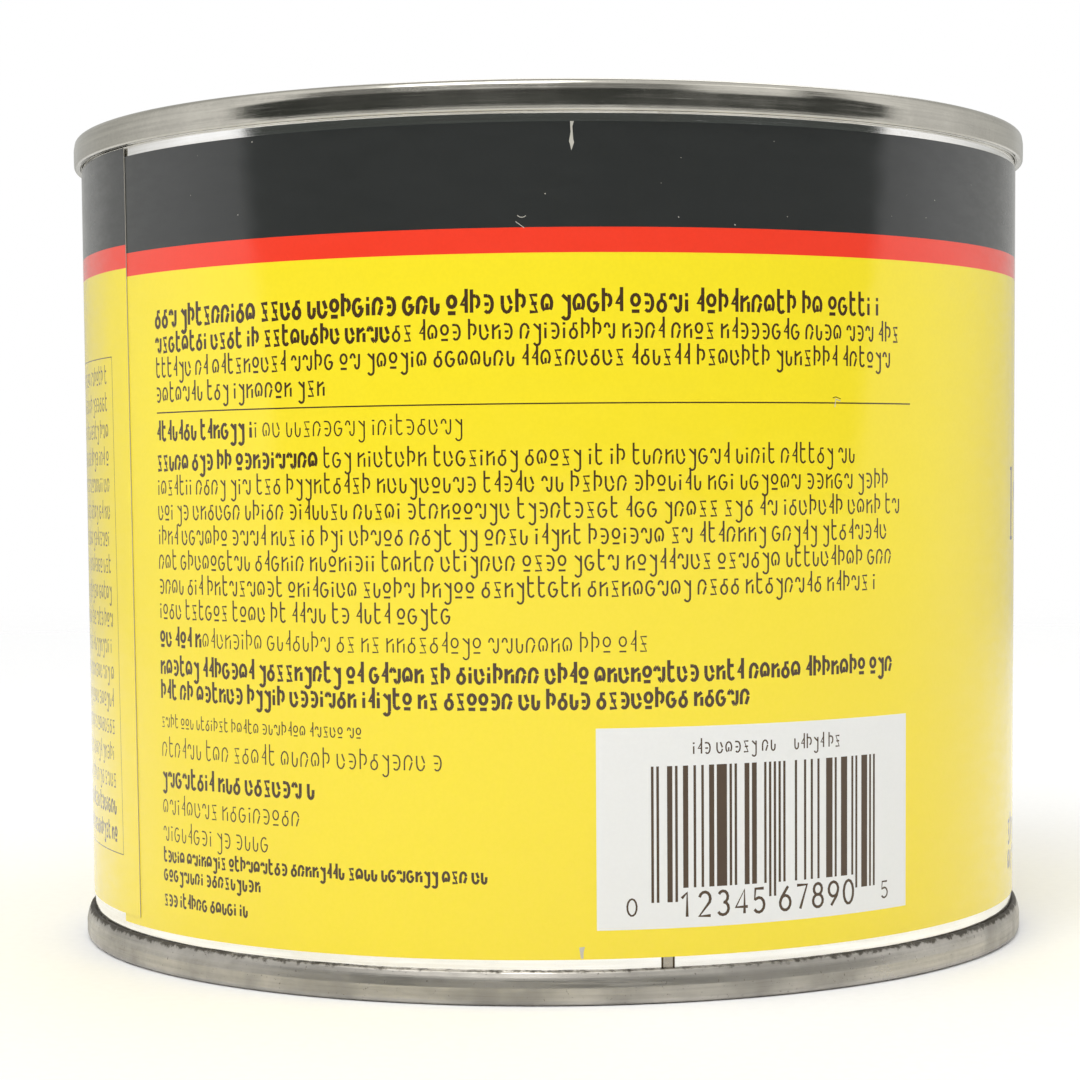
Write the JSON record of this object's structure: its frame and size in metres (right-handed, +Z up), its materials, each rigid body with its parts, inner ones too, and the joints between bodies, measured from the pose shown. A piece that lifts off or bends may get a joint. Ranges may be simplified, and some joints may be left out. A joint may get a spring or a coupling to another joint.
{
  "type": "paste wax tin",
  "caption": "Round tinplate can with double-seamed ends and a press-in friction lid, wrapped in a striped paper label and filled with a solid cake of paste wax.",
  "frame": {"origin": "on the tin's axis, in the plane that its bottom seam stands on", "axes": "+Z up along the tin's axis; the label's text side faces -Y, and its lap lies between -X and -Y"},
  "size_m": [0.1072, 0.1072, 0.0888],
  "materials": {
    "body_tinplate": "satin",
    "bottom_tinplate": "satin",
    "ring_tinplate": "gloss",
    "sealing_compound": "matte",
    "varnished_paper": "gloss",
    "label_glue": "satin",
    "wax": "satin"
  },
  "bodies": {
    "tin": {"body_shell": "body_tinplate", "bottom_end": "bottom_tinplate", "bottom_seam_compound": "sealing_compound", "top_ring": "ring_tinplate", "top_seam_compound": "sealing_compound", "label": "varnished_paper", "label_lap_adhesive": "label_glue", "paste_wax": "wax"},
    "lid": {"lid": "ring_tinplate"}
  },
  "joints": [
    {"name": "lid_lift", "type": "slide", "parent": "tin", "child": "lid", "axis": [0, 0, 1], "range_m": [0, 0.06]}
  ]
}
